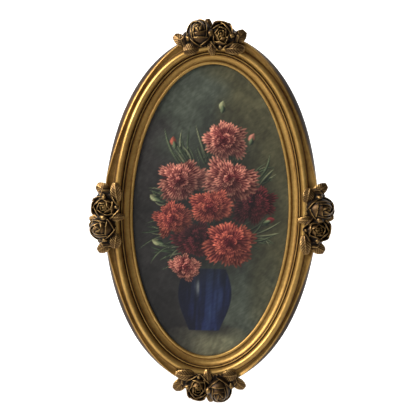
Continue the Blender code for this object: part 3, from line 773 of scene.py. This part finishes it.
# Blooms, from behind forwards: centre, size, lean, colours and the seed of their draws
blooms = [
    ((0.068, 0.014), 0.037, 20, CHERRY, BLACKBERRY, 41),
    ((-0.020, -0.046), 0.040, -10, CHERRY, BLACKBERRY, 42),
    ((0.020, 0.116), 0.041, -8, ROSE, WINE, 43),
    ((-0.050, 0.050), 0.043, 12, ROSE, WINE, 44),
    ((0.030, 0.054), 0.045, -15, ROSE, WINE, 45),
    ((-0.060, -0.012), 0.034, 25, CORAL, WINE, 46),
    ((0.000, 0.008), 0.038, 10, CORAL, WINE, 47),
    ((0.032, -0.048), 0.047, 8, CORAL, WINE, 48),
    ((-0.038, -0.090), 0.027, -20, ROSE, WINE, 49),
]
for centre, bloom_size, lean, light, dark, seed in blooms:
    shade = bump_at(np.hypot(x - centre[0] - 0.003, z - centre[1] + 0.004) / bloom_size, 1.0)
    picture = laid(picture, 0.65 * shade, NIGHT)
    picture, thickness = paint_bloom(picture, thickness, centre, bloom_size, lean, light, dark, seed)
# Buds: foot, heading and colour. A green cup reaches up and down from the foot
buds = [((-0.060, 0.104), 100, CORAL), ((0.060, 0.112), 70, ROSE), ((0.088, -0.014), 20, CHERRY),
        ((-0.084, 0.018), 150, PALE), ((0.014, 0.162), 85, PALE), ((-0.078, -0.052), 160, PALE)]
BUD_LENGTH, BUD_WIDTH = 0.016, 0.0100
CUP_UP, CUP_DOWN, CUP_WIDTH = 0.009, 0.004, 0.0080
for (bud_x, bud_z), heading, colour in buds:
    turn = math.radians(heading)
    tip, waist, root = [(bud_x + far * math.cos(turn), bud_z + far * math.sin(turn))
                        for far in (BUD_LENGTH, CUP_UP, -CUP_DOWN)]
    picture, thickness = paint_blade(
        picture, thickness, (bud_x, bud_z), tip, 0.001, BUD_WIDTH, colour, 0.5 * colour)
    picture, thickness = paint_blade(picture, thickness, root, waist, -0.001, CUP_WIDTH, SAGE, MOSS)
fleck = brushed(x, z, 35, 0.006, 0.0018, 12)
picture = np.clip(picture * (1 + 0.09 * fleck[..., None]), 0, 1)
print("blooms:", len(blooms), "buds:", len(buds), "mean tone", np.round(picture.mean(axis=(0, 1)) * 255))

# %% The panel with its paint
IMPASTO = 0.00020
face_points = np.stack([x, BACK_Y - FACE_HEIGHT - IMPASTO * thickness, CENTRE_Z + z], axis=-1).reshape(-1, 3)
rim = grid_rim(PANEL_ROWS, PANEL_COLUMNS)
back_points = face_points[rim] * [1, 0, 1] + [0, BACK_Y - FACE_HEIGHT + PANEL_THICKNESS, 0]
under = len(face_points) + np.arange(len(rim))
sides = np.stack([rim, under, np.roll(under, -1), np.roll(rim, -1)], axis=-1)
quads = grid_quads(PANEL_ROWS, PANEL_COLUMNS)
panel = new_mesh_object(
    "painted_panel", np.concatenate([face_points, back_points]),
    quads.tolist() + sides.tolist() + [under[::-1].tolist()],
)
linear = np.where(picture <= 0.04045, picture / 12.92, ((picture + 0.055) / 1.055) ** 2.4).reshape(-1, 3)
paint = np.ones((len(panel.data.vertices), 4))
paint[:, :3] = 0.05
paint[: len(linear), :3] = linear
layer = panel.data.attributes.new("paint", "FLOAT_COLOR", "POINT")
layer.data.foreach_set("color", paint.ravel())
flat = np.ones(len(panel.data.polygons), dtype=bool)
flat[len(quads):] = False
panel.data.polygons.foreach_set("use_smooth", flat)
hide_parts("painting")
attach(panel, "root")


# %% [markdown]
# ## Finishes
# Each finish is a small network of nodes on one Principled shader. A tone from 0 to 1 is put together
# from the wear kept on the mesh and a few noises, and a colour ramp turns it into a colour.

# %% Helpers for node materials
def start_material(name):
    """A material with one Principled shader, its node tree, and the shader."""
    made = bpy.data.materials.new(name)
    made.use_nodes = True
    return made, made.node_tree, made.node_tree.nodes["Principled BSDF"]


def add_node(tree, kind, inputs, **settings):
    """A node with its settings, its input values, and links where an input is another node's socket."""
    made = tree.nodes.new("ShaderNode" + kind)
    for name, value in settings.items():
        setattr(made, name, value)
    for name, value in inputs.items():
        if isinstance(value, bpy.types.NodeSocket):
            tree.links.new(value, made.inputs[name])
        else:
            made.inputs[name].default_value = value
    return made.outputs[0]


def kept(tree, name, output="Fac"):
    """The socket that reads a value kept on the mesh."""
    made = tree.nodes.new("ShaderNodeAttribute")
    made.attribute_name = name
    return made.outputs[output]


def noise(tree, scale, detail, roughness=0.55, stretch=None):
    """Fractal noise from 0 to 1 on the object's own coordinates, times the stretch if there is one."""
    where = tree.nodes.new("ShaderNodeTexCoord").outputs["Object"]
    if stretch:
        where = add_node(tree, "Mapping", {"Vector": where, "Scale": stretch})
    inputs = {"Vector": where, "Scale": scale, "Detail": detail, "Roughness": roughness}
    return add_node(tree, "TexNoise", inputs)


def weighted(tree, terms, start=0.0):
    """The sum of a start value and each socket times its weight."""
    total = None
    for socket, weight in terms:
        addend = start if total is None else total
        total = add_node(tree, "Math", {0: socket, 1: weight, 2: addend}, operation="MULTIPLY_ADD")
    return total


def ramp(tree, value, stops):
    """A colour ramp through stops of position and colour."""
    made = tree.nodes.new("ShaderNodeValToRGB")
    tree.links.new(value, made.inputs["Fac"])
    elements = made.color_ramp.elements
    while len(elements) < len(stops):
        elements.new(0.5)
    for element, (position, colour) in zip(elements, stops):
        element.position = position
        element.color = (*colour, 1.0)
    return made.outputs["Color"]


def ranged(tree, value, low, high):
    """The value from 0 to 1 brought to the range from low to high, held at its ends."""
    return add_node(tree, "MapRange", {"Value": value, "To Min": low, "To Max": high})


def dented(tree, shader, height, strength, distance):
    """Tilts the shader's normals by the slope of a height."""
    made = add_node(tree, "Bump", {"Height": height, "Strength": strength, "Distance": distance})
    tree.links.new(made, shader.inputs["Normal"])


# %% Aged gilding
gilding, tree, shader = start_material("aged_gilding_worn_and_shaded")
grime_and_shade_value, rub_value = kept(tree, "grime_and_shade"), kept(tree, "rub")
blotches = noise(tree, 14, 6, 0.62)
flecks = noise(tree, 190, 4, 0.6)
# The darkening kept on the moulding is dirt in the grooves and painted shade in the hollow and down the
# outer slope
tone = weighted(tree, [(rub_value, 0.26), (blotches, 0.55), (flecks, 0.30), (grime_and_shade_value, -0.62)], 0.12)
colour = ramp(tree, tone, [
    (0.0, (0.024, 0.011, 0.005)), (0.22, (0.085, 0.040, 0.013)), (0.45, (0.26, 0.142, 0.038)),
    (0.68, (0.45, 0.272, 0.080)), (1.0, (0.68, 0.48, 0.19))])
tree.links.new(colour, shader.inputs["Base Color"])
tree.links.new(ranged(tree, tone, 0.55, 0.97), shader.inputs["Metallic"])
dullness = weighted(tree, [(tone, -0.5), (flecks, 0.5)], 0.45)
tree.links.new(ranged(tree, dullness, 0.26, 0.62), shader.inputs["Roughness"])
shader.inputs["Specular IOR Level"].default_value = 0.25
uneven = weighted(tree, [(flecks, 0.5), (noise(tree, 45, 3), 1.0)], 0.0)
dented(tree, shader, uneven, 0.35, 0.0006)
moulding.data.materials.append(gilding)

# %% Bare wood and board on the hidden sides
def bare_material(name, stretch, stops, bump):
    """A dull brown material whose grain is noise drawn out along the picture's height."""
    made, tree, shader = start_material(name)
    grain = noise(tree, 1.0, 6, 0.6, stretch)
    stains = noise(tree, 9, 4, 0.5)
    tone = weighted(tree, [(grain, 0.60), (stains, 0.50)], -0.05)
    tree.links.new(ramp(tree, tone, stops), shader.inputs["Base Color"])
    tree.links.new(ranged(tree, grain, 0.70, 0.90), shader.inputs["Roughness"])
    dented(tree, shader, grain, bump, 0.0005)
    return made


wood = bare_material("bare_oiled_wood", (260, 260, 24), [
    (0.15, (0.050, 0.026, 0.013)), (0.50, (0.150, 0.085, 0.042)), (0.90, (0.27, 0.170, 0.090))], 0.5)
board = bare_material("old_panel_board", (420, 420, 60), [
    (0.15, (0.075, 0.048, 0.028)), (0.50, (0.190, 0.130, 0.078)), (0.90, (0.31, 0.230, 0.150))], 0.3)
moulding.data.materials.append(wood)
hidden_columns = np.arange(offsets.shape[1]) >= offsets.shape[1] - HIDDEN_STEPS
moulding.data.polygons.foreach_set("material_index", np.tile(hidden_columns, STATIONS).astype(np.int32))
print("bare wood on", int(hidden_columns.sum()), "of", offsets.shape[1], "strips round the section")

# %% Dark patina with rubbed gold and a painted highlight on the bellies of the roses
patina, tree, shader = start_material("rubbed_dark_bronze_and_sheen")
rub_value, leafy_value = kept(tree, "rub"), kept(tree, "leafy")
blotches = noise(tree, 38, 5, 0.6)
flecks = noise(tree, 320, 4, 0.6)
tone = weighted(tree, [(rub_value, 0.92), (leafy_value, 0.25), (blotches, 0.46), (flecks, 0.20)], -0.60)
colour = ramp(tree, tone, [
    (0.0, (0.006, 0.004, 0.002)), (0.30, (0.032, 0.017, 0.008)), (0.55, (0.120, 0.066, 0.023)),
    (0.78, (0.38, 0.235, 0.085)), (1.0, (0.70, 0.49, 0.21))])
tree.links.new(colour, shader.inputs["Base Color"])
tree.links.new(ranged(tree, tone, 0.65, 0.97), shader.inputs["Metallic"])
shader.inputs["Specular IOR Level"].default_value = 0.25
dullness = weighted(tree, [(tone, -0.4), (flecks, 0.6)], 0.40)
tree.links.new(ranged(tree, dullness, 0.20, 0.52), shader.inputs["Roughness"])
dented(tree, shader, flecks, 0.4, 0.0004)
for casting in castings:
    casting.data.materials.append(patina)

# %% Oil paint under an old varnish
oils, tree, shader = start_material("varnished_oils")
painted = kept(tree, "paint", "Color")
weave = noise(tree, 420, 3, 0.6)
strokes = noise(tree, 1.0, 3, 0.6, (260, 260, 90))
lightness = ranged(tree, strokes, 0.80, 1.22)
deepened = add_node(tree, "HueSaturation", {"Color": painted, "Value": lightness, "Saturation": 1.0})
tree.links.new(deepened, shader.inputs["Base Color"])
tree.links.new(ranged(tree, weave, 0.42, 0.66), shader.inputs["Roughness"])
shader.inputs["Specular IOR Level"].default_value = 0.28
relief = weighted(tree, [(strokes, 1.0), (weave, 0.4)], 0.0)
dented(tree, shader, relief, 0.35, 0.0004)
panel.data.materials.append(oils)
panel.data.materials.append(board)
panel.data.polygons.foreach_set("material_index", (~flat).astype(np.int32))

# %% Hanger steel
steel, tree, shader = start_material("brassy_hanger_steel")
rust = noise(tree, 240, 5, 0.65)
colour = ramp(tree, rust, [
    (0.35, (0.42, 0.36, 0.22)), (0.62, (0.30, 0.24, 0.14)), (0.78, (0.12, 0.06, 0.03))])
tree.links.new(colour, shader.inputs["Base Color"])
tree.links.new(ranged(tree, rust, 0.28, 0.62), shader.inputs["Roughness"])
shader.inputs["Metallic"].default_value = 0.9
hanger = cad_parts["sawtooth_hanger"]
hanger.data.materials.clear()
hanger.data.materials.append(steel)

# %% [markdown]
# ## Light, backdrop and camera
# The photograph shows the picture cut out on white, lit from the upper left. A large soft light stands
# there, a weak one in front, and a pale floor curves up into a bright wall well behind the picture.

# %% The pale floor and wall
FLOOR_Z, WALL_Y, CURVE = CENTRE_Z - 0.62, 2.6, 0.9
SWEEP_REACH, WALL_HEIGHT = 14.0, 8.0
bend = np.linspace(0, math.pi / 2, 24)
path_y = np.concatenate([[-SWEEP_REACH, -1.0, 0.0, 0.6], WALL_Y - CURVE + CURVE * np.sin(bend), [WALL_Y]])
path_z = np.concatenate([np.zeros(4), CURVE * (1 - np.cos(bend)), [WALL_HEIGHT]]) + FLOOR_Z
wide = np.array([-SWEEP_REACH, SWEEP_REACH])[None, :]
sweep_points = np.stack(np.broadcast_arrays(wide, path_y[:, None], path_z[:, None]), axis=-1)
sweep = new_mesh_object("pale_sweep", sweep_points, grid_quads(len(path_y), 2))
point_values(sweep, "glow", np.broadcast_to(faded(path_y, 0.5, 1.6)[:, None], (len(path_y), 2)))
pale, tree, shader = start_material("pale_sweep_paint")
glow = kept(tree, "glow")
shader.inputs["Base Color"].default_value = (0.86, 0.86, 0.85, 1)
shader.inputs["Roughness"].default_value = 0.9
shader.inputs["Emission Color"].default_value = (1, 1, 1, 1)
tree.links.new(ranged(tree, glow, 0.0, 0.85), shader.inputs["Emission Strength"])
sweep.data.materials.append(pale)


# %% Lights
def soft_light(name, where, size, watts, colour):
    """A square area light at a place, turned to face the middle of the picture."""
    lamp = bpy.data.lights.new(name, "AREA")
    lamp.size, lamp.energy, lamp.color = size, watts, colour
    thing = bpy.data.objects.new(name, lamp)
    thing.location = where
    aim = Vector((0, BACK_Y, CENTRE_Z)) - Vector(where)
    thing.rotation_euler = aim.to_track_quat("-Z", "Y").to_euler()
    bpy.context.collection.objects.link(thing)
    return thing


soft_light("key_light", (-1.70, -0.85, CENTRE_Z + 1.12), 1.4, 92, (1.0, 0.98, 0.95))
soft_light("fill_light", (-0.45, -1.7, CENTRE_Z + 1.35), 0.9, 6, (0.98, 0.98, 1.0))
world = bpy.data.worlds.new("soft_room")
world.use_nodes = True
room = world.node_tree.nodes["Background"].inputs
room["Color"].default_value = (0.95, 0.97, 1.0, 1)
room["Strength"].default_value = 0.10
bpy.context.scene.world = world
bpy.context.scene.view_settings.view_transform = "Standard"

# %% The camera
IMAGE_PIXELS = 410
METRES_PER_PIXEL = 0.0016
CENTRE_PIXEL = (210.6, 212.6)
CAMERA_DISTANCE = 1.3
SENSOR_MM = 36
elevation, azimuth, roll = math.radians(5.4), math.radians(0.7), math.radians(1.45)
middle = Vector((0, BACK_Y - 0.012, CENTRE_Z))
level = math.cos(elevation)
ahead = Vector((-math.sin(azimuth) * level, math.cos(azimuth) * level, -math.sin(elevation)))
right = Vector((math.cos(azimuth), math.sin(azimuth), 0))
up = right.cross(ahead)
right, up = right * math.cos(roll) + up * math.sin(roll), up * math.cos(roll) - right * math.sin(roll)
shift_x, shift_y = ((pixel - IMAGE_PIXELS / 2) * METRES_PER_PIXEL for pixel in CENTRE_PIXEL)
aim = middle - right * shift_x + up * shift_y
lens = bpy.data.cameras.new("camera")
lens.sensor_width = SENSOR_MM
lens.lens = CAMERA_DISTANCE / METRES_PER_PIXEL / IMAGE_PIXELS * SENSOR_MM
camera = bpy.data.objects.new("camera", lens)
pose = Matrix((right, up, -ahead)).transposed().to_4x4()
pose.translation = aim - ahead * CAMERA_DISTANCE
camera.matrix_world = pose
bpy.context.collection.objects.link(camera)
bpy.context.scene.camera = camera
print("focal length, mm:", round(lens.lens, 1))
